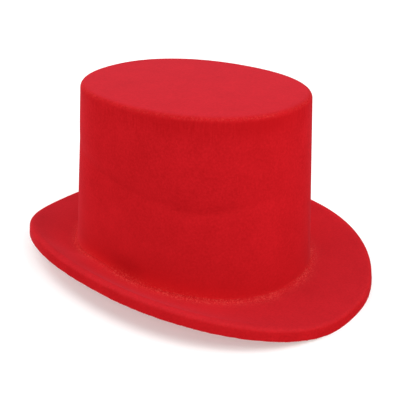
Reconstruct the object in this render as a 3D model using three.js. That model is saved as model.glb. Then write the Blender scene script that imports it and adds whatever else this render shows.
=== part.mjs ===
// A moulded costume top hat. One sheet of foam, with velour knit bonded to its outside and a thinner knit to its
// inside, is pressed over a block in one piece: flat top, crown, root, brim and a short lip turned down round the
// brim. A woven tape sweatband is sewn inside the head opening, with its ends overlapped at the back and a small
// blank size label beside the join.
//
// Millimetres, +Z up. The front of the hat points along -Y. The brim curls up at the sides, so the hat stands on
// the front and back of its lip. The origin is on the surface it stands on, under the middle of the brim.
import * as THREE from "three";

// Crown, over the velour. Half sizes are taken where the crown meets the brim.
const crownHalfWidth = 86.4;
const crownHalfLength = 106.7;
const crownHeight = 143; // from the brim's upper face to the flat top
const crownDraft = 10.3; // each half size shrinks by this much at the top, so the hat comes off its block
const crownLean = 0.025; // the crown leans forward by this share of its height
const topEdgeRadius = 4.5;
const rootRadius = 4; // the hollow bend between crown and brim

// Brim, over the velour. Half sizes are taken at the ridge, where the brim turns down into the lip.
const brimHalfWidth = 116;
const brimHalfLength = 162.3;
const brimShift = 3.2; // the brim's middle lies this far behind the crown's
const brimEgg = 0.08; // the brim is this share wider in front and narrower behind
const ridgeRadius = 2.5;
const lipDepth = 8.9;
const lipFlare = 1.1; // how far the lip stands out by its cut edge

// Height of the ridge above the crown's root: a mean, a curl up at the sides, and a flattening of that curl
const ridgeMean = 7.3;
const ridgeCurl = 10.1;
const ridgeFlat = 1.4;
const rootCurl = 2.5; // the crown's root follows the curl a little
const curlPower = 1.5; // the brim starts level and curls more towards its edge
const flattened = 0.8; // the lip is pressed flat by this much where the hat stands on it

const ovalPower = 2.2; // 2 is an ellipse; a little more is a hat block's fuller oval

// The laminate, outside to inside
const velour = 0.8;
const foam = 3;
const backing = 0.6;
const glueLine = 0.3;
const sheet = velour + glueLine + foam + glueLine + backing;

// Sweatband and what is sewn to it
const tapeWidth = 30;
const tapeThickness = 1;
const tapeBottom = 6; // above the crown's root
const tapeOverlap = 16; // degrees of the oval on which the ends lie over each other
const stitchInset = 3.5; // from the tape's lower edge to the row of stitches
const threadSize = 0.6;
const labelWidth = 28;
const labelHeight = 16;
const labelThickness = 0.5;
const labelTurn = 20; // degrees of the oval from the middle of the back to the label's middle

const segments = 48;
const degree = Math.PI / 180;

// The hat is drawn as a round hat, then each point is moved onto the oval, so these are the round hat's radii.
const crownRadius = (crownHalfWidth + crownHalfLength) / 2;
const brimRadius = (brimHalfWidth + brimHalfLength) / 2;
const crownStretch = (crownHalfLength - crownHalfWidth) / 2;
const brimStretch = (brimHalfLength - brimHalfWidth) / 2;
const standHeight = lipDepth + ridgeCurl + ridgeFlat - ridgeMean - flattened;

const red = { color: 0xc1141d, roughness: 0.95, metalness: 0 };
const velourCloth = new THREE.MeshStandardMaterial(red);
const backingCloth = new THREE.MeshStandardMaterial({ ...red, color: 0xa91320 });
const foamMaterial = new THREE.MeshStandardMaterial({ color: 0xe9e2d2, roughness: 0.9, metalness: 0 });
const tapeCloth = new THREE.MeshStandardMaterial({ color: 0xe8e2d4, roughness: 0.85, metalness: 0 });
const labelCloth = new THREE.MeshStandardMaterial({ color: 0xf4f2ec, roughness: 0.6, metalness: 0 });
const thread = new THREE.MeshStandardMaterial({ color: 0xf0ece2, roughness: 0.7, metalness: 0 });

const clamp = (value) => Math.min(1, Math.max(0, value));
const power = (value) => Math.sign(value) * Math.abs(value) ** (2 / ovalPower);

// Where a point of the round hat goes on the real one. The angle runs from +X, so the back is at 90 degrees.
// The brim has taken its full shape a sheet's thickness inside the ridge, so the lip keeps its own thickness.
function place(radius, height, angle) {
  const out = clamp((radius - crownRadius) / (brimRadius - sheet - crownRadius));
  const fromAxis = clamp(radius / (0.6 * crownRadius));
  const stretch = crownStretch * fromAxis + (brimStretch - crownStretch) * out;
  const halfWidth = radius - stretch;
  const halfLength = radius + stretch;
  const along = power(Math.sin(angle));
  const x = halfWidth * power(Math.cos(angle)) * (1 - brimEgg * out * along);
  const crownShift = -brimShift * (1 - out) - crownLean * Math.max(height, 0);
  const y = halfLength * along + crownShift;

  const curl = out ** curlPower;
  const ridge = ridgeMean + ridgeCurl * Math.cos(2 * angle) - ridgeFlat * Math.cos(4 * angle);
  const root = rootCurl * Math.cos(2 * angle) * (1 - clamp(height / crownHeight));
  const z = height + root * (1 - curl) + ridge * curl + standHeight;
  return new THREE.Vector3(x, y, Math.max(z, 0));
}

// Moves every vertex of a geometry by a function of its own place.
function moved(geometry, toPlace) {
  const position = geometry.getAttribute("position");
  const point = new THREE.Vector3();
  for (let i = 0; i < position.count; i++) {
    point.fromBufferAttribute(position, i);
    position.setXYZ(i, ...toPlace(point));
  }
  geometry.computeVertexNormals();
  return geometry;
}

// Turns a geometry drawn round the Z axis into part of the hat.
const ontoHat = (geometry) =>
  moved(geometry, (p) => place(Math.hypot(p.x, p.y), p.z, Math.atan2(p.y, p.x)));

// The outside face in section, from the axis to the cut edge. Each bend has the radius of the outside face.
const bends = [
  { at: new THREE.Vector2(crownRadius - crownDraft, crownHeight), radius: topEdgeRadius, hollow: false },
  { at: new THREE.Vector2(crownRadius, 0), radius: rootRadius, hollow: true },
  { at: new THREE.Vector2(brimRadius, 0), radius: ridgeRadius, hollow: false },
];
const sectionEnds = [new THREE.Vector2(0, crownHeight), new THREE.Vector2(brimRadius + lipFlare, -lipDepth)];
const sharpest = 0.5; // the inside of a tight bend is never sharper than this
const arcSteps = 3;
const brimSteps = 5;

// Where two lines meet, each given by a point and a direction.
function meet(a, alongA, b, alongB) {
  const t = new THREE.Vector2().subVectors(b, a).cross(alongB) / alongA.cross(alongB);
  return a.clone().addScaledVector(alongA, t);
}

// The section of the face that lies this deep in the sheet.
function sectionAt(depth) {
  const corners = [sectionEnds[0], ...bends.map((bend) => bend.at), sectionEnds[1]];
  const lines = corners.slice(1).map((corner, i) => {
    const along = new THREE.Vector2().subVectors(corner, corners[i]).normalize();
    const inwards = new THREE.Vector2(along.y, -along.x);
    return { from: corners[i].clone().addScaledVector(inwards, depth), along };
  });
  const points = [new THREE.Vector2(0, crownHeight - depth)];
  bends.forEach((bend, i) => {
    const before = lines[i];
    const after = lines[i + 1];
    const corner = meet(before.from, before.along, after.from, after.along);
    const turn = Math.acos(before.along.dot(after.along));
    const radius = Math.max(bend.hollow ? bend.radius + depth : bend.radius - depth, sharpest);
    const side = bend.hollow ? -1 : 1;
    const start = corner.clone().addScaledVector(before.along, -radius * Math.tan(turn / 2));
    const centre = start
      .clone()
      .add(new THREE.Vector2(before.along.y, -before.along.x).multiplyScalar(side * radius));
    const arc = [];
    for (let step = 0; step <= arcSteps; step++)
      arc.push(start.clone().rotateAround(centre, (-side * turn * step) / arcSteps));
    if (i === bends.length - 1) {
      // The brim curls between its root and its ridge, so its flat run needs points of its own.
      const root = points[points.length - 1];
      for (let step = 1; step < brimSteps; step++)
        points.push(root.clone().lerp(arc[0], step / brimSteps));
    }
    points.push(...arc);
  });
  const lip = lines[lines.length - 1];
  points.push(meet(lip.from, lip.along, sectionEnds[1], new THREE.Vector2(1, 0)));
  return points;
}

// One layer of the laminate, between two depths in the sheet.
function layer(name, outerDepth, thickness, material) {
  const section = [...sectionAt(outerDepth), ...sectionAt(outerDepth + thickness).reverse()];
  const geometry = new THREE.LatheGeometry(section.reverse(), segments);
  geometry.rotateX(Math.PI / 2);
  const mesh = new THREE.Mesh(ontoHat(geometry), material);
  mesh.name = name;
  return mesh;
}

// The crown wall's inner face, as a round hat's radius at a height, less a gap.
const draftPerHeight = crownDraft / crownHeight;
const wallInside = (height, gap) =>
  crownRadius - draftPerHeight * height - (sheet + gap) * Math.hypot(1, draftPerHeight);

// Anything sewn inside the crown is a flat piece, wrapped round the wall. Its X runs round the hat from the middle of
// the back towards +X, in degrees of the oval. Its Y is the height above the root and its Z the gap to the wall.
function againstWall(geometry, gapAt = () => 0) {
  return moved(geometry, (p) => {
    const angle = (90 - p.x) * degree;
    return place(wallInside(p.y, glueLine + gapAt(p.x) + p.z), p.y, angle);
  });
}

const tapeMiddle = tapeBottom + tapeWidth / 2;
const overlapGap = tapeThickness + glueLine;

// The tape starts against the wall, goes once round, and its last few degrees lie on its own start.
function sweatband() {
  const turn = 360 + tapeOverlap;
  const tape = new THREE.BoxGeometry(turn, tapeWidth, tapeThickness, segments + 4, 1, 1);
  tape.translate(turn / 2 - tapeOverlap / 2, tapeMiddle, tapeThickness / 2);
  const stepIn = 8; // degrees over which the upper end climbs onto the lower one
  const climbFrom = 360 - tapeOverlap / 2 - stepIn;
  const mesh = new THREE.Mesh(
    againstWall(tape, (x) => overlapGap * clamp((x - climbFrom) / stepIn)),
    tapeCloth,
  );
  mesh.name = "sweatband";
  return mesh;
}

// A row of stitches that runs right round the tape, clear of its two-layer join.
function sweatbandStitching() {
  const height = tapeBottom + stitchInset;
  const gap = glueLine + tapeThickness + overlapGap + glueLine + threadSize / 2;
  const ring = new THREE.TorusGeometry(wallInside(height, gap), threadSize / 2, 6, segments);
  ring.translate(0, 0, height);
  const mesh = new THREE.Mesh(ontoHat(ring), thread);
  mesh.name = "sweatband_stitching";
  return mesh;
}

// A short upright row of stitches on the face of the tape or the label.
function stitchRow(name, turn, length, gap) {
  const row = new THREE.BoxGeometry(threadSize, length, threadSize, 1, 2, 1);
  row.translate(turn, labelMiddle, gap + threadSize / 2);
  const mesh = new THREE.Mesh(againstWall(row), thread);
  mesh.name = name;
  return mesh;
}

// How many degrees of the oval a length on the wall takes near a given turn.
function degreesFor(length, turn) {
  const radius = wallInside(tapeMiddle, 0);
  const half = 0.5;
  const a = place(radius, tapeMiddle, (90 - turn - half) * degree);
  const b = place(radius, tapeMiddle, (90 - turn + half) * degree);
  return length / a.distanceTo(b);
}

const aboveTape = tapeThickness + glueLine;
const labelMiddle = tapeMiddle + 2; // clear of the stitches along the tape's lower edge

// The label lies on the single tape beside the join, and is sewn down at its two ends.
function sizeLabel() {
  const width = degreesFor(labelWidth, labelTurn);
  const label = new THREE.BoxGeometry(width, labelHeight, labelThickness, 6, 1, 1);
  label.translate(labelTurn, labelMiddle, aboveTape + labelThickness / 2);
  const mesh = new THREE.Mesh(againstWall(label), labelCloth);
  mesh.name = "size_label";
  return mesh;
}

const labelSeam = 2; // from the label's end to its row of stitches
const labelRowTurn = degreesFor(labelWidth / 2 - labelSeam, labelTurn);
const labelRowGap = aboveTape + labelThickness + glueLine;
const labelRowLength = labelHeight - 2;
const joinTurn = tapeOverlap / 2 - 2.5; // a few degrees inside the cut edge of the tape's upper end
const joinRowLength = 20;

const hat = new THREE.Group();
hat.add(
  layer("velour_cover", 0, velour, velourCloth),
  layer("foam_core", velour + glueLine, foam, foamMaterial),
  layer("backing_fabric", sheet - backing, backing, backingCloth),
  sweatband(),
  sweatbandStitching(),
  stitchRow("band_join_stitching", joinTurn, joinRowLength, overlapGap + aboveTape),
  sizeLabel(),
  stitchRow("label_stitching_left", labelTurn - labelRowTurn, labelRowLength, labelRowGap),
  stitchRow("label_stitching_right", labelTurn + labelRowTurn, labelRowLength, labelRowGap),
);

export default hat;
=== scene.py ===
# A moulded costume top hat in red velour, standing on a white table in soft studio light.
# Its sizes are the CAD part's; this script makes the same hat in finished cloth, foam, tape and thread.
import math
import random

import bmesh
import bpy
from mathutils import Matrix, Vector, noise


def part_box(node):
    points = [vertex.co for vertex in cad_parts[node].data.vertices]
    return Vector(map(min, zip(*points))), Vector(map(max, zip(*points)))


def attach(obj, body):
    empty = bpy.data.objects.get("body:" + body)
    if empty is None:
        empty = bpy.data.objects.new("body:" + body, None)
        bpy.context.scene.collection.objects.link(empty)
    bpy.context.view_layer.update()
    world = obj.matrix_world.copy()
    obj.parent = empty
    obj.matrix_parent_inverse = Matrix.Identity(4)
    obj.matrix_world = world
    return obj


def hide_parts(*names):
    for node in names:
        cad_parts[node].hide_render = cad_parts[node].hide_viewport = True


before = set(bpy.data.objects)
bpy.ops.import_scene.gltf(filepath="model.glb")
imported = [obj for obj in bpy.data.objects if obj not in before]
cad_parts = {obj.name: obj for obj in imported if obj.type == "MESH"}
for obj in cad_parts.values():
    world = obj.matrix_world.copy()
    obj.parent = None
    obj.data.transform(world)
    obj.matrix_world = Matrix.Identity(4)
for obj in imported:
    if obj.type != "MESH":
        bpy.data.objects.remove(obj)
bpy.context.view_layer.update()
random.seed(58)
mm = 0.001
sharpAngle = math.radians(50)  # an edge that turns more than this is a real one
print("frame loaded")

block = {  # the hat's shape in millimetres; half sizes are over the velour
    "crownHalfWidth": 86.4,
    "crownHalfLength": 106.7,
    "crownHeight": 143.0,
    "crownDraft": 10.3,  # how much smaller each half size is at the top
    "crownLean": 0.025,  # the crown leans forward by this share of its height
    "ovalFrom": 0.6,  # the crown's top is fully oval from this share of its radius outwards
    "topEdgeRadius": 4.5,
    "rootRadius": 4.0,
    "brimHalfWidth": 116.0,
    "brimHalfLength": 162.3,
    "brimShift": 3.2,  # the brim's middle lies behind the crown's
    "brimEgg": 0.08,  # wider in front, narrower behind
    "ridgeRadius": 2.5,
    "lipDepth": 8.9,
    "lipFlare": 1.1,
    "ridgeMean": 7.3,
    "ridgeCurl": 10.1,  # the brim's sides curl up and its ends dip
    "ridgeFlat": 1.4,
    "rootCurl": 2.5,
    "curlPower": 1.5,
    "ovalPower": 2.2,
    "sheet": 5.0,  # the whole laminate
}
handling = {  # marks of packing and handling; turns in degrees of the oval, +X is 0 and the back is 90
    "foldTurn": 212.0,  # a soft fold line sags across one side of the crown and is lowest here
    "foldHeight": 69.0,
    "foldRise": 0.085,  # how fast the line climbs to either side
    "foldRisePower": 1.3,
    "foldDepth": 2.8,
    "foldCrease": 1.2,  # how rounded the line itself is
    "foldAbove": 9.0,  # the wall leans in over this height above the line
    "foldBelow": 22.0,  # and comes out again over this height below it
    "foldMiddle": 200.0,
    "foldHalfTurn": 60.0,
    "foldSoftTurn": 233.0,  # from here on the upper side of the line fades out
    "foldSoftOver": 10.0,
    "foldSofter": 3.0,
    "foldBand": 7.0,  # mm either side of the line on which shade and light are painted
    "dentTurn": 181.0,  # a pressed-in spot at the wall's foot
    "dentHeight": 5.0,
    "dentDepth": 1.3,
    "dentHalfTurn": 9.5,
    "dentHalfHeight": 11.0,
    "dentPatchUp": 1.0,  # its painted shade lies this much higher
    "liftTurn": 167.0,  # the root is pushed up a little beside it
    "rootLift": 4.0,
    "liftHalfTurn": 13.0,
    "liftFade": 25.0,  # up the wall
    "cutWander": 0.35,  # the knife-cut edge of the lip is a little uneven
    "cutWanderCount": 9.0,
    "cutNicks": 0.3,  # and it has small nicks
    "cutNickCount": 110.0,
}
crownRadius = (block["crownHalfWidth"] + block["crownHalfLength"]) / 2  # of the round hat that is spun first
brimRadius = (block["brimHalfWidth"] + block["brimHalfLength"]) / 2
crownStretch = (block["crownHalfLength"] - block["crownHalfWidth"]) / 2
brimStretch = (block["brimHalfLength"] - block["brimHalfWidth"]) / 2
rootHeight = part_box("velour_cover")[1][2] / mm - block["crownHeight"]  # above the table


def clamp(value):
    return min(1.0, max(0.0, value))


def ovalPart(value):
    return math.copysign(abs(value) ** (2 / block["ovalPower"]), value)


def slowly(angle, count, seed):
    # A random swing between about -1 and 1, this many times on the way round; each seed gives another.
    return noise.noise(Vector((math.cos(angle), math.sin(angle), seed)) * count / math.pi) * 1.6


def degreesOf(angle):
    return math.degrees(angle) % 360


def aboveFold(height, turn):
    # Millimetres from the fold line up to a point on the wall.
    rise = handling["foldRise"] * abs(turn - handling["foldTurn"]) ** handling["foldRisePower"]
    return height - handling["foldHeight"] - rise


def alongFold(turn):
    # 1 at the middle of the fold line and 0 past its ends.
    return math.exp(-(((turn - handling["foldMiddle"]) / handling["foldHalfTurn"]) ** 4))


def nearDent(height, turn):
    beside = (turn - handling["dentTurn"]) / handling["dentHalfTurn"]
    above = (height - handling["dentHeight"]) / handling["dentHalfHeight"]
    return math.exp(-(beside**2) - above**2)


def pushedIn(height, angle):
    # How far the wall is pushed in, in millimetres.
    turn = degreesOf(angle)
    off = aboveFold(height, turn)
    crease = handling["foldCrease"]
    softer = clamp((turn - handling["foldSoftTurn"]) / handling["foldSoftOver"])
    above = handling["foldAbove"] * (1 + handling["foldSofter"] * softer)
    fade = above if off > 0 else handling["foldBelow"]
    fold = math.exp((crease - math.hypot(off, crease)) / fade) * alongFold(turn)
    return handling["foldDepth"] * fold + handling["dentDepth"] * nearDent(height, turn)


def cutEdgeWander(angle):
    wander = handling["cutWander"] * slowly(angle, handling["cutWanderCount"], 3)
    return wander + handling["cutNicks"] * slowly(angle, handling["cutNickCount"], 4)


def onHat(radius, height, angle):
    # Moves a point of the round hat, in millimetres, onto the oval and curled one, in metres.
    out = clamp((radius - crownRadius) / (brimRadius - block["sheet"] - crownRadius))
    up = clamp(height / block["crownHeight"])
    pushed = 0.0
    if out == 0.0 and radius > crownRadius / 2:  # on the wall
        pushed = pushedIn(height, angle) * math.sqrt(math.sin(math.pi * up))
    stretch = crownStretch * clamp(radius / (block["ovalFrom"] * crownRadius))
    stretch += (brimStretch - crownStretch) * out
    along = ovalPart(math.sin(angle))
    x = (radius - pushed - stretch) * ovalPart(math.cos(angle)) * (1 - block["brimEgg"] * out * along)
    y = (radius - pushed + stretch) * along
    y -= block["brimShift"] * (1 - out) + block["crownLean"] * max(height, 0)
    curl = out ** block["curlPower"]
    ridge = block["ridgeMean"] + block["ridgeCurl"] * math.cos(2 * angle)
    ridge -= block["ridgeFlat"] * math.cos(4 * angle)
    beside = (degreesOf(angle) - handling["liftTurn"]) / handling["liftHalfTurn"]
    root = handling["rootLift"] * math.exp(-(beside**2) - max(height, 0) / handling["liftFade"])
    root += block["rootCurl"] * math.cos(2 * angle) * (1 - up)
    cut = clamp(-height / block["lipDepth"]) * cutEdgeWander(angle)
    z = rootHeight + height + cut + root * (1 - curl) + ridge * curl
    return Vector((x, y, max(z, 0.0))) * mm


def linearFrom(hexColour):
    # An sRGB hex colour, as the linear one that shaders take.
    parts = [int(hexColour[i : i + 2], 16) / 255 for i in (1, 3, 5)]
    return (*[c / 12.92 if c <= 0.04045 else ((c + 0.055) / 1.055) ** 2.4 for c in parts], 1.0)


def addNode(tree, kind, inputs=None, **settings):
    # A node with its settings; each input is a value or another node's output.
    made = tree.nodes.new("ShaderNode" + kind)
    for name, value in settings.items():
        setattr(made, name, value)
    for name, value in (inputs or {}).items():
        if isinstance(value, bpy.types.NodeSocket):
            tree.links.new(value, made.inputs[name])
        else:
            made.inputs[name].default_value = value
    return made


def newMaterial(name):
    made = bpy.data.materials.new(name)
    made.use_nodes = True
    made.node_tree.nodes.clear()
    return made, made.node_tree


def finishMaterial(tree, surface):
    addNode(tree, "OutputMaterial", {"Surface": surface.outputs[0]})


def waveScale(bandWidth):
    # The scale at which a wave texture's bands are this many millimetres wide.
    return math.pi / (20 * bandWidth * mm)


def newPiece(name, bm, material, replaced=()):
    # Turns a bmesh into a piece of the hat.
    for face in bm.faces:
        face.smooth = True
    mesh = bpy.data.meshes.new(name)
    bm.to_mesh(mesh)
    bm.free()
    mesh.materials.append(material)
    piece = bpy.data.objects.new(name, mesh)
    bpy.context.scene.collection.objects.link(piece)
    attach(piece, "root")
    if replaced:
        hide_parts(*replaced)
    return piece


velourLook = {  # nylon velour, knitted and brushed: short dense pile, so no shine but a pale bloom
    "deep": "#AD1318",
    "bright": "#C21A21",
    "toneFrom": 0.5,  # the pattern's value where the colour is deep, and where it is bright
    "toneTo": 1.1,
    "paintedSheen": "#D44655",  # painted sheen: a paler, pinker haze on the level faces, the top and the brim
    "darkened": "#AE1116",  # painted shade on the lip, in the dent and above the fold; also a darker band under the top edge
    "paintedLight": "#E7242A",  # painted light: paler red round the root, on the brim near the crown, along the ridge and below the fold
    "opened": "#EE6058",  # paler ground that shows where a bend spreads the pile
    "heatherSize": 1.7,  # mm; real tufts are about 0.3, too fine to show
    "napSize": 22.0,  # soft clouds of differently brushed pile
    "napShare": 0.6,  # of the heather's strength
    "streakWidth": 1.1,
    "streakLength": 14.0,
    "crackleSize": 1.15,
    "crackleFrom": 0.48,  # the narrower these two, the harder the edges of the crackle
    "crackleTo": 0.61,
    "relief": 0.25,  # mm
    "reliefStrength": 0.3,
    "bloom": 0.06,
    "bloomRoughness": 0.3,
    "bloomTint": "#FFD4F2",
}


def velourMaterial():
    made, tree = newMaterial("nylon velour, knitted and brushed")
    look = velourLook
    place = addNode(tree, "TexCoord").outputs["Object"]
    ribbed = addNode(tree, "Attribute", attribute_name="ribbed").outputs["Fac"]
    heather = addNode(
        tree,
        "TexNoise",
        {"Vector": place, "Scale": 1 / (look["heatherSize"] * mm), "Detail": 2.0, "Roughness": 0.6},
    )
    nap = addNode(
        tree,
        "TexNoise",
        {"Vector": place, "Scale": 1 / (look["napSize"] * mm), "Detail": 4.0, "Roughness": 0.6},
    )
    across = 1 / (look["streakWidth"] * mm)
    upDown = 1 / (look["streakLength"] * mm)
    squeezed = addNode(tree, "Mapping", {"Vector": place, "Scale": (across, across, upDown)})
    streaks = addNode(tree, "TexNoise", {"Vector": squeezed.outputs[0], "Scale": 1.0, "Detail": 1.0})
    ribs = addNode(tree, "Math", {0: streaks.outputs["Fac"], 1: 0.5}, operation="SUBTRACT")
    tone = addNode(
        tree,
        "Math",
        {0: nap.outputs["Fac"], 1: look["napShare"], 2: heather.outputs["Fac"]},
        operation="MULTIPLY_ADD",
    )
    ribbedTone = addNode(
        tree, "Math", {0: ribs.outputs[0], 1: ribbed, 2: tone.outputs[0]}, operation="MULTIPLY_ADD"
    )
    share = addNode(
        tree,
        "MapRange",
        {"Value": ribbedTone.outputs[0], "From Min": look["toneFrom"], "From Max": look["toneTo"]},
    )
    colour = addNode(
        tree,
        "Mix",
        {0: share.outputs[0], 6: linearFrom(look["deep"]), 7: linearFrom(look["bright"])},
        data_type="RGBA",
    )
    # Painted sheen, painted shade, painted light and the darker top band, from the shell's attributes.
    for state in ("paintedSheen", "darkened", "paintedLight"):
        much = addNode(tree, "Attribute", attribute_name=state).outputs["Fac"]
        colour = addNode(
            tree, "Mix", {0: much, 6: colour.outputs[2], 7: linearFrom(look[state])}, data_type="RGBA"
        )
    crackle = addNode(
        tree,
        "TexNoise",
        {
            "Vector": place,
            "Scale": 1 / (look["crackleSize"] * mm),
            "Detail": 2.0,
            "Roughness": 0.7,
            "Distortion": 0.6,
        },
    )
    crackled = addNode(
        tree,
        "MapRange",
        {"Value": crackle.outputs["Fac"], "From Min": look["crackleFrom"], "From Max": look["crackleTo"]},
    )
    opened = addNode(tree, "Attribute", attribute_name="opened").outputs["Fac"]
    bare = addNode(tree, "Math", {0: crackled.outputs[0], 1: opened}, operation="MULTIPLY")
    colour = addNode(
        tree,
        "Mix",
        {0: bare.outputs[0], 6: colour.outputs[2], 7: linearFrom(look["opened"])},
        data_type="RGBA",
    )
    relief = addNode(
        tree, "Math", {0: ribs.outputs[0], 1: ribbed, 2: heather.outputs["Fac"]}, operation="MULTIPLY_ADD"
    )
    bump = addNode(
        tree,
        "Bump",
        {"Height": relief.outputs[0], "Strength": look["reliefStrength"], "Distance": look["relief"] * mm},
    )
    surface = addNode(
        tree,
        "BsdfPrincipled",
        {
            "Base Color": colour.outputs[2],
            "Roughness": 1.0,
            "Specular IOR Level": 0.0,
            "Sheen Weight": look["bloom"],
            "Sheen Roughness": look["bloomRoughness"],
            "Sheen Tint": linearFrom(look["bloomTint"]),
            "Normal": bump.outputs[0],
        },
    )
    finishMaterial(tree, surface)
    return made


foamLook = {  # polyurethane foam: pale open cells, torn a little by the blade
    "light": "#F3E9DC",
    "dark": "#E9D9C6",
    "stain": "#E3C3B4",
    "stainSize": 9.0,  # mm
    "cellSize": 0.7,  # real cells are half this, too fine to show
    "relief": 0.3,
}


def foamMaterial():
    made, tree = newMaterial("polyurethane foam, knife cut")
    look = foamLook
    place = addNode(tree, "TexCoord").outputs["Object"]
    cells = addNode(tree, "TexVoronoi", {"Vector": place, "Scale": 1 / (look["cellSize"] * mm)})
    stain = addNode(
        tree, "TexNoise", {"Vector": place, "Scale": 1 / (look["stainSize"] * mm), "Detail": 3.0}
    )
    colour = addNode(
        tree,
        "Mix",
        {0: cells.outputs["Distance"], 6: linearFrom(look["dark"]), 7: linearFrom(look["light"])},
        data_type="RGBA",
    )
    tinted = addNode(
        tree,
        "Mix",
        {0: stain.outputs["Fac"], 6: colour.outputs[2], 7: linearFrom(look["stain"])},
        data_type="RGBA",
    )
    bump = addNode(
        tree,
        "Bump",
        {"Height": cells.outputs["Distance"], "Strength": 0.8, "Distance": look["relief"] * mm},
    )
    surface = addNode(
        tree,
        "BsdfPrincipled",
        {"Base Color": tinted.outputs[2], "Roughness": 0.9, "Normal": bump.outputs[0]},
    )
    finishMaterial(tree, surface)
    return made


tricotLook = {  # polyester tricot: thin and faintly ribbed, with a little shine on the wales
    "light": "#D8303A",
    "dark": "#B5181F",
    "waleWidth": 1.1,  # mm; real wales are half this, too fine to show
    "patchSize": 18.0,
    "relief": 0.2,
    "shine": 0.15,
}


def tricotMaterial():
    made, tree = newMaterial("polyester tricot, warp knitted")
    look = tricotLook
    blank = addNode(tree, "UVMap", uv_map="blank").outputs[0]
    scale = waveScale(look["waleWidth"])
    wales = addNode(
        tree,
        "TexWave",
        {"Vector": blank, "Scale": scale, "Distortion": 1.2, "Detail": 1.0},
        bands_direction="X",
    )
    courses = addNode(
        tree,
        "TexWave",
        {"Vector": blank, "Scale": scale, "Distortion": 1.0, "Detail": 1.0},
        bands_direction="Y",
    )
    knit = addNode(tree, "Math", {0: wales.outputs["Fac"], 1: courses.outputs["Fac"]}, operation="MULTIPLY")
    tone = addNode(
        tree, "TexNoise", {"Vector": blank, "Scale": 1 / (look["patchSize"] * mm), "Detail": 3.0}
    )
    shade = addNode(tree, "Math", {0: knit.outputs[0], 1: tone.outputs["Fac"]}, operation="MULTIPLY")
    colour = addNode(
        tree,
        "Mix",
        {0: shade.outputs[0], 6: linearFrom(look["dark"]), 7: linearFrom(look["light"])},
        data_type="RGBA",
    )
    bump = addNode(
        tree, "Bump", {"Height": knit.outputs[0], "Strength": 0.5, "Distance": look["relief"] * mm}
    )
    surface = addNode(
        tree,
        "BsdfPrincipled",
        {
            "Base Color": colour.outputs[2],
            "Roughness": 0.7,
            "Sheen Weight": look["shine"],
            "Sheen Roughness": 0.4,
            "Normal": bump.outputs[0],
        },
    )
    finishMaterial(tree, surface)
    return made


tapeLook = {  # cotton tape, woven in a herringbone: matt, with fine zigzag lines of light and shade
    "light": "#F1EADB",
    "dark": "#CFC6B2",
    "lineWidth": 1.2,  # mm; real twill lines are about 0.6, too fine to show
    "zigzag": 7.5,  # mm across one zigzag, out and back
    "slubSize": 0.8,  # mm; thicker and thinner spots of the yarn
    "slubShare": 1.6,  # of the lines' strength
    "relief": 0.15,
}


def tapeMaterial():
    made, tree = newMaterial("cotton tape, herringbone weave")
    look = tapeLook
    woven = addNode(tree, "SeparateXYZ", {0: addNode(tree, "UVMap", uv_map="woven").outputs[0]})
    swung = addNode(
        tree, "Math", {0: woven.outputs["Y"], 1: look["zigzag"] / 2 * mm}, operation="PINGPONG"
    )
    slanted = addNode(tree, "Math", {0: woven.outputs["X"], 1: swung.outputs[0]}, operation="ADD")
    perMetre = 2 * math.pi / (look["lineWidth"] * mm)
    lines = addNode(tree, "Math", {0: slanted.outputs[0], 1: perMetre}, operation="MULTIPLY")
    twill = addNode(tree, "Math", {0: lines.outputs[0]}, operation="SINE")
    place = addNode(tree, "TexCoord").outputs["Object"]
    slubs = addNode(
        tree, "TexNoise", {"Vector": place, "Scale": 1 / (look["slubSize"] * mm), "Detail": 2.0}
    )
    height = addNode(
        tree,
        "Math",
        {0: slubs.outputs["Fac"], 1: look["slubShare"], 2: twill.outputs[0]},
        operation="MULTIPLY_ADD",
    )
    share = addNode(tree, "MapRange", {"Value": height.outputs[0], "From Min": -0.5, "From Max": 2.0})
    colour = addNode(
        tree,
        "Mix",
        {0: share.outputs[0], 6: linearFrom(look["dark"]), 7: linearFrom(look["light"])},
        data_type="RGBA",
    )
    bump = addNode(
        tree, "Bump", {"Height": height.outputs[0], "Strength": 0.5, "Distance": look["relief"] * mm}
    )
    surface = addNode(
        tree,
        "BsdfPrincipled",
        {
            "Base Color": colour.outputs[2],
            "Roughness": 0.85,
            "Sheen Weight": 0.1,
            "Normal": bump.outputs[0],
        },
    )
    finishMaterial(tree, surface)
    return made


satinLook = {  # polyester satin: smooth floats, so a soft gloss across the threads
    "light": "#F6F4EE",
    "dark": "#E4E0D6",
    "threadWidth": 0.5,  # mm; real threads are a third of this, too fine to show
    "relief": 0.05,
    "roughness": 0.38,
}


def satinMaterial():
    made, tree = newMaterial("polyester satin ribbon, woven")
    look = satinLook
    woven = addNode(tree, "UVMap", uv_map="woven").outputs[0]
    scale = waveScale(look["threadWidth"])
    floats = addNode(
        tree,
        "TexWave",
        {"Vector": woven, "Scale": scale, "Distortion": 2.0, "Detail": 2.0},
        bands_direction="Y",
    )
    colour = addNode(
        tree,
        "Mix",
        {0: floats.outputs["Fac"], 6: linearFrom(look["dark"]), 7: linearFrom(look["light"])},
        data_type="RGBA",
    )
    bump = addNode(
        tree, "Bump", {"Height": floats.outputs["Fac"], "Strength": 0.25, "Distance": look["relief"] * mm}
    )
    surface = addNode(
        tree,
        "BsdfPrincipled",
        {
            "Base Color": colour.outputs[2],
            "Roughness": look["roughness"],
            "Anisotropic": 0.5,
            "Normal": bump.outputs[0],
        },
    )
    finishMaterial(tree, surface)
    return made


threadLook = {  # spun polyester: a hard twist that breaks the light into dots
    "light": "#F3EEE2",
    "dark": "#D9D2C2",
    "plyWidth": 0.45,  # mm
    "relief": 0.06,
}


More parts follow.
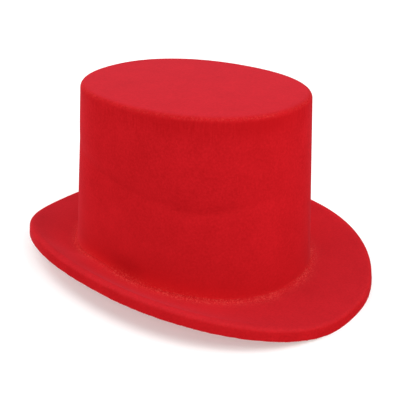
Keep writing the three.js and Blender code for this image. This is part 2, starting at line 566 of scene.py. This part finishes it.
def threadMaterial():
    made, tree = newMaterial("polyester thread, spun and twisted")
    look = threadLook
    place = addNode(tree, "TexCoord").outputs["Object"]
    plies = addNode(
        tree,
        "TexWave",
        {"Vector": place, "Scale": waveScale(look["plyWidth"]), "Distortion": 1.5, "Detail": 1.0},
        bands_direction="DIAGONAL",
    )
    colour = addNode(
        tree,
        "Mix",
        {0: plies.outputs["Fac"], 6: linearFrom(look["dark"]), 7: linearFrom(look["light"])},
        data_type="RGBA",
    )
    bump = addNode(
        tree, "Bump", {"Height": plies.outputs["Fac"], "Strength": 0.6, "Distance": look["relief"] * mm}
    )
    surface = addNode(
        tree,
        "BsdfPrincipled",
        {"Base Color": colour.outputs[2], "Roughness": 0.6, "Normal": bump.outputs[0]},
    )
    finishMaterial(tree, surface)
    return made


shell = {  # the three layers of the laminate, in millimetres
    "aroundSteps": 256,
    "arcSteps": 8,
    "step": 3.0,  # between points along a straight run
    "glueLine": 0.06,  # dark glue that shows between two layers at the cut edge
    "velourDepth": 0.0,  # from the outside face to each layer's own outer face
    "foamDepth": 1.0,
    "backingDepth": 4.4,
    "leastRadius": 0.5,  # of a bend on the inside of a layer
    "blankWidth": 330.0,  # the oval of flat cloth that the sheet was before it was stretched
    "blankLength": 400.0,
}
sectionLength = brimRadius + block["crownHeight"] + block["lipDepth"]
blankShare = (shell["blankWidth"] + shell["blankLength"]) / 4 / sectionLength


def sectionCorners(depth):
    # Corners of the section, from the axis to the cut edge, this deep in the sheet.
    corners = [
        Vector((0, block["crownHeight"])),
        Vector((crownRadius - block["crownDraft"], block["crownHeight"])),
        Vector((crownRadius, 0)),
        Vector((brimRadius, 0)),
        Vector((brimRadius + block["lipFlare"], -block["lipDepth"])),
    ]
    runs = [(b - a).normalized() for a, b in zip(corners, corners[1:])]
    inward = [Vector((run.y, -run.x)) * depth for run in runs]
    moved = [corners[0] + inward[0]]
    for i in range(1, 4):
        offset = corners[i] + inward[i] - moved[i - 1]
        moved.append(moved[i - 1] + runs[i - 1] * (offset.cross(runs[i]) / runs[i - 1].cross(runs[i])))
    moved.append(moved[3] + runs[3] * ((corners[4].y - moved[3].y) / runs[3].y))
    return moved


def addFace(bm, depth):
    # One face of a layer as a chain of edges: its corners rounded, its long runs cut into steps.
    corners = sectionCorners(depth)
    chain = [bm.verts.new((p.x, 0, p.y)) for p in corners]
    for pair in zip(chain, chain[1:]):
        bm.edges.new(pair)
    radii = (block["topEdgeRadius"] - depth, block["rootRadius"] + depth, block["ridgeRadius"] - depth)
    for i, radius in enumerate(radii, start=1):
        turn = (corners[i] - corners[i - 1]).angle(corners[i + 1] - corners[i])
        bmesh.ops.bevel(
            bm,
            geom=[chain[i]],
            offset=max(radius, shell["leastRadius"]) * math.tan(turn / 2),
            offset_type="OFFSET",
            segments=shell["arcSteps"],
            profile=0.5,
            affect="VERTICES",
            material=-1,
        )
    return chain[-1]


wear = {  # how the mould and handling changed the pile, and the light, shade and sheen painted on it; shares from 0 to 1, widths in millimetres
    "openAtTop": 0.42,  # the pile is spread along the bends
    "openAtRoot": 0.42,
    # painted highlight: a pale speckle along the brim's ridge
    "ridgeHighlightSpeckle": 0.05,
    "openWidthAtTop": 1.8,
    "openWidth": 2.6,
    "openWidthOnBrim": 5.0,  # on the brim side of the root
    "openWidthAtSides": 3.0,  # more than that at the root of the hat's sides
    "openPatches": 0.7,  # how unevenly it is spread on the way round
    "openPatchCount": 14,
    "lightUpWall": 17.0,  # up the wall from the root over which light is painted
    "lightOnWall": 1.2,
    "lightAtSides": 0.25,  # more at the sides, where the brim curls up, and less at the ends
    "lightAllRound": 0.6,
    "lessLightInRoot": 0.5,  # this share less in the root itself
    "lessLightInRootWidth": 4.0,
    "lightOnBrim": 0.32,
    "lightOnBrimAt": 10.0,  # outwards from the crown
    "lightOnBrimWidth": 18.0,  # either side of that line
    "brimAllRound": 0.45,
    "brimAtSides": 0.5,
    "brimAtEnds": 0.3,  # never less than this
    "ridgeHighlight": 0.06,  # painted highlight along the brim's ridge
    "ridgeHighlightWidth": 2.5,
    # painted sheen: how much paler the top and the brim are coloured
    "paintedSheenOnTop": 0.35,
    "paintedSheenOnBrim": 0.12,
    "paintedSheenFade": 4.0,  # out from the root
    # painted shade on the lip, in the dent and above the fold; painted light below the fold
    "shadeOnLip": 0.05,
    "shadeInDent": 0.35,
    "shadeAboveFold": 0.15,
    "lightBelowFold": 0.07,
    "pressedBand": 20.0,  # down the wall from the top edge, where the block pressed the pile into ribs and the colour is darker
    "pressedFade": 12.0,
    "pressedClear": 2.0,  # the top edge itself is not pressed
    # how much darker the band under the top edge is, and how patchy
    "darkBandMost": 0.5,
    "darkBandPatches": 0.4,
    "darkBandPatchCount": 6,
}


def near(distance, width):
    return math.exp(-((distance / width) ** 2))


def openedAt(point, angle):
    topCorner, rootCorner, ridgeCorner = sectionCorners(0)[1:4]
    rootWidth = wear["openWidthOnBrim" if point.x > crownRadius else "openWidth"]
    rootWidth += wear["openWidthAtSides"] * clamp(math.cos(2 * angle))
    spread = max(
        wear["openAtTop"] * near((point - topCorner).length, wear["openWidthAtTop"]),
        wear["openAtRoot"] * near((point - rootCorner).length, rootWidth),
        wear["ridgeHighlightSpeckle"] * near((point - ridgeCorner).length, wear["openWidth"]),
    )
    return spread * clamp(1 + wear["openPatches"] * slowly(angle, wear["openPatchCount"], 5))


def paintedLightAt(point, angle):
    # Painted light, most round the root, where it lifts the shade in the corner of wall and brim.
    atSides = math.cos(2 * angle)
    if point.x > crownRadius:
        onBrim = near(point.x - crownRadius - wear["lightOnBrimAt"], wear["lightOnBrimWidth"])
        # Painted highlight along the ridge, and painted light on the brim near the crown.
        onRidge = near(math.hypot(point.x - brimRadius, point.y), wear["ridgeHighlightWidth"])
        share = max(wear["brimAtEnds"], wear["brimAllRound"] + wear["brimAtSides"] * atSides)
        return wear["ridgeHighlight"] * onRidge + wear["lightOnBrim"] * share * onBrim
    lessInRoot = 1 - wear["lessLightInRoot"] * math.exp(-point.y / wear["lessLightInRootWidth"])
    share = clamp(wear["lightOnWall"] * math.exp(-point.y / wear["lightUpWall"]) * lessInRoot)
    return (wear["lightAllRound"] + wear["lightAtSides"] * atSides) * share


def pressedAt(point):
    # 1 on the upper wall, where the block pressed the pile into fine upright ribs.
    fromTop = block["crownHeight"] - point.y
    fadeIn = clamp((wear["pressedBand"] - fromTop) / wear["pressedFade"])
    return fadeIn * clamp((fromTop - wear["pressedClear"]) / 2)


def paintedSheenAt(point):
    # Painted sheen on the level faces, which are the top and the brim: they are coloured paler.
    onTop = clamp((point.y - block["crownHeight"] + 1) / 2)
    onBrim = clamp((point.x - crownRadius) / wear["paintedSheenFade"]) * clamp(1 + point.y / 2)
    return onTop * wear["paintedSheenOnTop"] + onBrim * wear["paintedSheenOnBrim"]


def pileStates(point, angle):
    # What the pile is like, and the light, shade and sheen painted on it, at a point of the section, its
    # radius and height, this far round.
    fold = above = dent = 0.0
    if point.x <= crownRadius and point.y <= block["crownHeight"] - block["topEdgeRadius"]:
        turn = degreesOf(angle)
        off = aboveFold(point.y, turn)
        fold = near(off, handling["foldBand"]) * alongFold(turn)
        above = clamp(0.5 + off / 2)
        dent = nearDent(point.y - handling["dentPatchUp"], turn)
    ribbed = pressedAt(point)
    # A darker band under the top edge, patchy on the way round.
    patchy = wear["darkBandPatches"] * slowly(angle, wear["darkBandPatchCount"], 8)
    darkBand = ribbed * clamp(wear["darkBandMost"] + patchy)
    # Painted shade on the lip, in the dent and above the fold.
    onLip = clamp(-point.y / 2) * wear["shadeOnLip"]
    foldAndDentShade = clamp(dent * wear["shadeInDent"] + fold * above * wear["shadeAboveFold"])
    # Painted light, also below the fold; the dent takes it away again.
    lighter = paintedLightAt(point, angle) + fold * (1 - above) * wear["lightBelowFold"]
    return {
        "opened": openedAt(point, angle),
        "ribbed": ribbed,
        "paintedSheen": paintedSheenAt(point),
        "darkened": max(darkBand, onLip, foldAndDentShade),
        "paintedLight": clamp(lighter - dent * wear["shadeInDent"]),
    }


def pressLayer(name, depth, thickness, material, replaced):
    # A layer is spun as a round hat, then every point of it is moved onto the oval.
    bm = bmesh.new()
    bm.edges.new((addFace(bm, depth), addFace(bm, depth + thickness)))
    for edge in list(bm.edges):
        cuts = int(edge.calc_length() / shell["step"])
        if cuts:
            bmesh.ops.subdivide_edges(bm, edges=[edge], cuts=cuts)
    bmesh.ops.spin(
        bm,
        geom=bm.verts[:] + bm.edges[:],
        cent=(0, 0, 0),
        axis=(0, 0, 1),
        dvec=(0, 0, 0),
        angle=2 * math.pi,
        steps=shell["aroundSteps"],
        use_merge=True,
    )
    bmesh.ops.remove_doubles(bm, verts=bm.verts[:], dist=0.001)
    bmesh.ops.recalc_face_normals(bm, faces=bm.faces[:])
    states = ("opened", "ribbed", "paintedSheen", "darkened", "paintedLight") if name == "velour_shell" else ()
    layers = {state: bm.verts.layers.float.new(state) for state in states}
    blank = bm.loops.layers.uv.new("blank")
    for edge in bm.edges:
        edge.smooth = edge.calc_face_angle(0) < sharpAngle
    for vert in bm.verts:
        angle = math.atan2(vert.co.y, vert.co.x)
        point = Vector((math.hypot(vert.co.x, vert.co.y), vert.co.z))
        if layers:
            for state, value in pileStates(point, angle).items():
                vert[layers[state]] = value
        flatRadius = (point.x + block["crownHeight"] - point.y) * blankShare * mm
        for loop in vert.link_loops:
            loop[blank].uv = (flatRadius * math.cos(angle), flatRadius * math.sin(angle))
        vert.co = onHat(point.x, point.y, angle)
    return newPiece(name, bm, material, replaced)


velour = velourMaterial()
velourThickness = shell["foamDepth"] - shell["glueLine"] - shell["velourDepth"]
cover = pressLayer(
    "velour_shell", shell["velourDepth"], velourThickness, velour, ["velour_cover"]
)
foamThickness = shell["backingDepth"] - shell["glueLine"] - shell["foamDepth"]
core = pressLayer("foam_shell", shell["foamDepth"], foamThickness, foamMaterial(), ["foam_core"])
backingThickness = block["sheet"] - shell["backingDepth"]
tricot = tricotMaterial()
backing = pressLayer(
    "tricot_backing", shell["backingDepth"], backingThickness, tricot, ["backing_fabric"]
)
print("shell pressed")


cutEdge = {  # loose pile along the knife-cut lower edge of the lip, in millimetres
    "spacing": 0.55,
    "rows": 2,
    "rowStep": 0.25,
    "inset": 0.15,  # from the outside face to the first row
    "thickness": 0.14,  # half width at the root
    "tip": 0.01,
    "rootUp": 0.35,  # how deep in the velour a tuft begins
    "length": 1.2,
    "hang": 0.75,  # share of its length that points down
    "lean": 0.5,
    "leastOut": -0.1,  # it hardly leans in under the foam
}


def cutEdgePile():
    # Each tuft is a thin three-sided spike that hangs from the velour's cut edge.
    look = cutEdge
    bm = bmesh.new()
    edgeRadius = brimRadius + block["lipFlare"]
    count = int(2 * math.pi * edgeRadius / look["spacing"])
    for row in range(look["rows"]):
        spike = bmesh.ops.create_cone(
            bm, cap_ends=True, segments=3, radius1=look["thickness"], radius2=look["tip"], depth=1
        )
        rowRadius = edgeRadius - look["inset"] - row * look["rowStep"]
        bmesh.ops.translate(bm, vec=(rowRadius, 0, 0.5), verts=spike["verts"])
    corners = len(bm.verts)
    bmesh.ops.spin(
        bm,
        geom=bm.verts[:] + bm.edges[:] + bm.faces[:],
        cent=(0, 0, 0),
        axis=(0, 0, 1),
        angle=2 * math.pi * (1 - 1 / count),
        steps=count - 1,
        use_duplicate=True,
    )
    bm.verts.ensure_lookup_table()
    for first in range(0, len(bm.verts), corners // look["rows"]):
        length = look["length"] * random.uniform(0.5, 1.0)
        outward, aside, along = (random.uniform(-look["lean"], look["lean"]) for _ in range(3))
        for vert in bm.verts[first : first + corners // look["rows"]]:
            reach = length * vert.co.z
            radius = math.hypot(vert.co.x, vert.co.y) + max(outward, look["leastOut"]) * reach
            angle = math.atan2(vert.co.y, vert.co.x) + (aside * reach + along) / edgeRadius
            vert.co = onHat(radius, look["rootUp"] - block["lipDepth"] - reach * look["hang"], angle)
    bmesh.ops.recalc_face_normals(bm, faces=bm.faces[:])
    return newPiece("cut_edge_pile", bm, velour)


cutEdgePile()
print("cut edge frayed")

band = {  # the sweatband, in millimetres; turns in degrees from the middle of the back towards +X
    "width": 30.0,
    "thickness": 0.9,
    "bottom": 6.0,  # above the crown's root
    "off": 0.3,  # from the wall
    "overlap": 16.0,  # degrees on which the ends lie over each other
    "climb": 8.0,  # degrees over which the upper end climbs onto the lower one
    "stepsAlong": 360,
    "stepsAcross": 12,
    "standOff": 1.1,  # how far the unsewn upper edge stands off the wall at most
    "firmAboveRow": 3.0,  # the tape lies on the wall up to this far above its row of stitches
    "waves": 22.0,
    "flatTurn": 15.0,  # and it lies flat this far either side of the join and the label
    "flatFade": 10.0,
    "edgeRound": 0.3,
}
sewing = {  # lockstitches, in millimetres
    "inset": 3.5,  # from the tape's lower edge to the row
    "pitch": 4.5,
    "length": 3.3,
    "thread": 0.6,
    "rise": 0.5,  # the middle of a stitch above its ends
    "sides": 6,
    "steps": 5,
    "shortPitch": 2.8,
    "shortLength": 2.1,
    "slant": 0.12,  # how far a stitch may lie out of its row
    "lift": 0.4,  # share of the thread's half width by which its ends lie above the cloth
    "start": 1.0,  # degrees from the tape's end to the first stitch
    "joinTurn": 5.5,  # where the tape's overlap is sewn down
    "joinLength": 20.0,
}
label = {  # a blank woven size label, in millimetres
    "width": 28.0,
    "height": 16.0,
    "thickness": 0.45,
    "turn": 20.0,
    "aboveMiddle": 2.0,
    "bulge": 0.7,
    "seam": 2.0,  # from the label's end to its row of stitches
    "rowShorter": 2.0,  # than the label
    "off": 0.1,  # from the tape
    "stepsAlong": 28,
    "stepsAcross": 10,
    "edgeRound": 0.15,
}
draftPerHeight = block["crownDraft"] / block["crownHeight"]
bandMiddle = band["bottom"] + band["width"] / 2
endTurn = 360 - band["overlap"] / 2


def onWall(turn, height, gap):
    # A point inside the crown at a gap from the backing, in metres.
    across = (block["sheet"] + gap) * math.hypot(1, draftPerHeight)
    return onHat(crownRadius - draftPerHeight * height - across, height, math.radians(90 - turn))


def perDegree(turn):
    # Millimetres along the wall for a degree of the oval.
    return (onWall(turn + 0.5, bandMiddle, 0) - onWall(turn - 0.5, bandMiddle, 0)).length / mm


def bandGap(turn, height):
    # From the wall to the tape's outer face.
    climbed = clamp((turn - endTurn + band["climb"]) / band["climb"])
    step = climbed * (band["thickness"] + band["off"])
    firm = sewing["inset"] + band["firmAboveRow"]
    loose = clamp((height - band["bottom"] - firm) / (band["width"] - firm)) ** 2
    wave = clamp(0.5 + 0.5 * slowly(math.radians(turn), band["waves"], 11))
    fromLabel = abs((turn + 180) % 360 - 180 - label["turn"] / 2)
    quiet = clamp((fromLabel - band["flatTurn"]) / band["flatFade"])
    return band["off"] + step + band["standOff"] * loose * wave * quiet


def bandFace(turn, height):
    # From the wall to the tape's inner face.
    return bandGap(turn, height) + band["thickness"]


def joinFace(turn, height):
    # The same for the upper end, which lies over the lower one.
    return bandFace(turn + 360, height)


def labelFace(turn, height):
    return bandFace(turn, height) + label["off"] + label["thickness"]


def flatStrip(width, height, thickness, stepsAlong, stepsAcross):
    # A flat strip with a UV map in metres, its lower face at no height.
    bm = bmesh.new()
    bmesh.ops.create_grid(bm, x_segments=stepsAlong, y_segments=stepsAcross, size=0.5)
    bmesh.ops.scale(bm, vec=(width, height, 1), verts=bm.verts[:])
    bmesh.ops.solidify(bm, geom=bm.faces[:], thickness=thickness)
    lowest = min(vert.co.z for vert in bm.verts)
    bmesh.ops.translate(bm, vec=(0, 0, -lowest), verts=bm.verts[:])
    bmesh.ops.recalc_face_normals(bm, faces=bm.faces[:])
    woven = bm.loops.layers.uv.new("woven")
    for face in bm.faces:
        for loop in face.loops:
            loop[woven].uv = (loop.vert.co.x * mm, loop.vert.co.y * mm)
    return bm


def roundEdges(piece, width):
    bevel = piece.modifiers.new("rounded edges", "BEVEL")
    bevel.width = width * mm
    bevel.segments = 3
    bevel.limit_method = "ANGLE"
    bevel.angle_limit = sharpAngle


def wrappedBand():
    turns = 360 + band["overlap"]
    along = sum(perDegree(turn) for turn in range(360)) * turns / 360
    bm = flatStrip(along, band["width"], band["thickness"], band["stepsAlong"], band["stepsAcross"])
    for vert in bm.verts:
        turn = (vert.co.x / along + 0.5) * turns - band["overlap"] / 2
        height = bandMiddle + vert.co.y
        vert.co = onWall(turn, height, bandGap(turn, height) + vert.co.z)
    bmesh.ops.recalc_face_normals(bm, faces=bm.faces[:])
    piece = newPiece("herringbone_sweatband", bm, tapeMaterial(), ["sweatband"])
    roundEdges(piece, band["edgeRound"])


def sewnLabel():
    bm = flatStrip(
        label["width"], label["height"], label["thickness"], label["stepsAlong"], label["stepsAcross"]
    )
    degrees = 1 / perDegree(label["turn"])
    free = label["width"] / 2 - label["seam"]
    for vert in bm.verts:
        turn = label["turn"] + vert.co.x * degrees
        height = bandMiddle + label["aboveMiddle"] + vert.co.y
        bulge = label["bulge"] * math.sqrt(clamp(1 - (vert.co.x / free) ** 2))
        gap = bandFace(turn, height) + label["off"] + bulge
        vert.co = onWall(turn, height, gap + vert.co.z)
    bmesh.ops.recalc_face_normals(bm, faces=bm.faces[:])
    piece = newPiece("satin_label", bm, satinMaterial(), ["size_label"])
    roundEdges(piece, label["edgeRound"])


def oneStitch(length):
    # One stitch along X: a thread that comes up out of the cloth and dives back into it.
    bm = bmesh.new()
    half = sewing["thread"] / 2
    radius = (length**2 / 4 + sewing["rise"] ** 2) / (2 * sewing["rise"])
    turn = 2 * math.asin(length / 2 / radius)
    bmesh.ops.create_circle(bm, cap_ends=True, radius=half, segments=sewing["sides"])
    bmesh.ops.rotate(bm, matrix=Matrix.Rotation(math.pi / 2, 3, "Y"), verts=bm.verts[:])
    bmesh.ops.translate(bm, vec=(0, 0, radius), verts=bm.verts[:])
    bmesh.ops.rotate(bm, matrix=Matrix.Rotation(-turn / 2, 3, "Y"), verts=bm.verts[:])
    bmesh.ops.spin(
        bm, geom=bm.faces[:], cent=(0, 0, 0), axis=(0, 1, 0), angle=turn, steps=sewing["steps"]
    )
    bmesh.ops.translate(bm, vec=(0, 0, half * sewing["lift"] - radius), verts=bm.verts[:])
    bmesh.ops.recalc_face_normals(bm, faces=bm.faces[:])
    mesh = bpy.data.meshes.new("stitch")
    bm.to_mesh(mesh)
    bm.free()
    return mesh


def sewRow(name, places, length, upright, face, replaced):
    # One stitch at each place, a turn and a height, on the cloth; face gives the gap to its inner side.
    template = oneStitch(length)
    bm = bmesh.new()
    for turn, height in places:
        before = len(bm.verts)
        bm.from_mesh(template)
        bm.verts.ensure_lookup_table()
        slant = random.uniform(-sewing["slant"], sewing["slant"])
        degrees = 1 / perDegree(turn)
        for vert in bm.verts[before:]:
            along, beside = vert.co.x, vert.co.y + slant * vert.co.x
            if upright:
                along, beside = -beside, along
            vert.co = onWall(turn + along * degrees, height + beside, face(turn, height) + vert.co.z)
    bmesh.ops.recalc_face_normals(bm, faces=bm.faces[:])
    bpy.data.meshes.remove(template)
    newPiece(name, bm, thread, [replaced])


def sewBandRow():
    height = band["bottom"] + sewing["inset"]
    places = []
    turn = endTurn - 360 + sewing["start"]
    while turn < endTurn:
        places.append((turn + 360 if turn < band["overlap"] / 2 else turn, height))
        turn += sewing["pitch"] / perDegree(turn)
    sewRow("sweatband_stitches", places, sewing["length"], False, bandFace, "sweatband_stitching")


def sewUpright(name, turn, length, face, replaced):
    count = int(length / sewing["shortPitch"])
    middle = bandMiddle + label["aboveMiddle"]
    places = [(turn, middle + (i - (count - 1) / 2) * sewing["shortPitch"]) for i in range(count)]
    sewRow(name, places, sewing["shortLength"], True, face, replaced)


thread = threadMaterial()
wrappedBand()
sewnLabel()
sewBandRow()
sewUpright("join_stitches", sewing["joinTurn"], sewing["joinLength"], joinFace, "band_join_stitching")
labelReach = (label["width"] / 2 - label["seam"]) / perDegree(label["turn"])
for side, direction in (("left", -1), ("right", 1)):
    sewUpright(
        f"label_stitches_{side}",
        label["turn"] + direction * labelReach,
        label["height"] - label["rowShorter"],
        labelFace,
        f"label_stitching_{side}",
    )
print("sweatband sewn in")

studio = {  # soft boxes stand all round and one hangs overhead, as in a light tent
    "tableSize": 12.0,  # m
    "tableColour": "#E4E4E4",
    "tableTooth": 2.5,  # mm
    "tableGlow": 0.285,  # the opal table is lit a little from below
    "farGlow": 1.0,  # and fully further out, so that it meets the backdrop without a line
    "glowFrom": 0.9,  # m from the middle
    "glowTo": 1.8,
    "skyStrength": 0.04,
    "backdropStrength": 1.0,
    "softboxSize": 1.0,
    "softboxDistance": 1.5,
    "aimHeight": 0.07,
    "softboxes": {  # degrees round from the camera to its right, degrees up, watts
        "front": (0, 20, 6.3),
        "front right high": (45, 50, 11.2),
        "right high": (90, 50, 7.1),
        "back": (180, 20, 6.3),
        "back left": (-135, 20, 10.6),
        "left": (-90, 20, 6.5),
        "left high": (-90, 72, 6.7),
    },
}
view = {
    "azimuth": -50.9,  # degrees from the hat's front, round to its right-hand side
    "elevation": 23.4,
    "distance": 0.5812,  # m from the middle of the crown
    "middleHeight": 0.0723,
    "aimRight": 0.0078,
    "aimDown": 0.0186,
    "roll": -0.12,
    "lens": 61.55,
}


def directionTo(azimuth, elevation):
    # A unit vector, from degrees round from the hat's front and degrees up.
    azimuth, elevation = math.radians(azimuth), math.radians(elevation)
    flat = math.cos(elevation)
    return Vector((math.sin(azimuth) * flat, -math.cos(azimuth) * flat, math.sin(elevation)))


def makeStudio():
    bm = bmesh.new()
    bmesh.ops.create_grid(bm, x_segments=1, y_segments=1, size=studio["tableSize"] / 2)
    mesh = bpy.data.meshes.new("table")
    bm.to_mesh(mesh)
    bm.free()
    # The table: matt and lit a little from below, so that the shadow on it stays soft and pale.
    made, tree = newMaterial("opal acrylic, matt")
    place = addNode(tree, "TexCoord").outputs["Object"]
    toothScale = 1 / (studio["tableTooth"] * mm)
    tooth = addNode(tree, "TexNoise", {"Vector": place, "Scale": toothScale, "Detail": 2.0})
    away = addNode(tree, "VectorMath", {0: place}, operation="LENGTH")
    glow = addNode(
        tree,
        "MapRange",
        {
            "Value": away.outputs["Value"],
            "From Min": studio["glowFrom"],
            "From Max": studio["glowTo"],
            "To Min": studio["tableGlow"],
            "To Max": studio["farGlow"],
        },
        interpolation_type="SMOOTHSTEP",
    )
    bump = addNode(tree, "Bump", {"Height": tooth.outputs["Fac"], "Strength": 0.05, "Distance": 0.1 * mm})
    surface = addNode(
        tree,
        "BsdfPrincipled",
        {
            "Base Color": linearFrom(studio["tableColour"]),
            "Roughness": 0.9,
            "Emission Color": (1.0, 1.0, 1.0, 1.0),
            "Emission Strength": glow.outputs[0],
            "Normal": bump.outputs[0],
        },
    )
    finishMaterial(tree, surface)
    mesh.materials.append(made)
    table = bpy.data.objects.new("table", mesh)
    bpy.context.scene.collection.objects.link(table)

    world = bpy.data.worlds.new("white studio")
    world.use_nodes = True
    tree = world.node_tree
    seen = addNode(tree, "LightPath").outputs["Is Camera Ray"]
    whiter = studio["backdropStrength"] - studio["skyStrength"]
    strength = addNode(
        tree, "Math", {0: seen, 1: whiter, 2: studio["skyStrength"]}, operation="MULTIPLY_ADD"
    )
    background = tree.nodes["Background"]
    background.inputs["Color"].default_value = (1.0, 1.0, 1.0, 1.0)
    tree.links.new(strength.outputs[0], background.inputs["Strength"])
    bpy.context.scene.world = world

    for name, (turn, rise, watts) in studio["softboxes"].items():
        towards = directionTo(view["azimuth"] + turn, rise)
        light = bpy.data.lights.new(name + " softbox", "AREA")
        light.shape = "DISK"
        light.size = studio["softboxSize"]
        light.energy = watts
        softbox = bpy.data.objects.new(name + " softbox", light)
        softbox.location = towards * studio["softboxDistance"] + Vector((0, 0, studio["aimHeight"]))
        softbox.rotation_euler = towards.to_track_quat("Z", "Y").to_euler()
        bpy.context.scene.collection.objects.link(softbox)
    bpy.context.scene.view_settings.view_transform = "Standard"


def makeCamera():
    back = directionTo(view["azimuth"], view["elevation"])
    right = directionTo(view["azimuth"] + 90, 0)
    up = back.cross(right)
    middle = Vector((0, -block["brimShift"] * mm, view["middleHeight"]))
    eye = middle + back * view["distance"]
    aim = middle + right * view["aimRight"] - up * view["aimDown"]
    camera = bpy.data.objects.new("camera", bpy.data.cameras.new("camera"))
    camera.data.lens = view["lens"]
    camera.location = eye
    roll = Matrix.Rotation(math.radians(view["roll"]), 3, "Z").to_quaternion()
    camera.rotation_euler = ((eye - aim).to_track_quat("Z", "Y") @ roll).to_euler()
    bpy.context.scene.collection.objects.link(camera)
    bpy.context.scene.camera = camera


makeStudio()
makeCamera()
print("studio and camera set up")
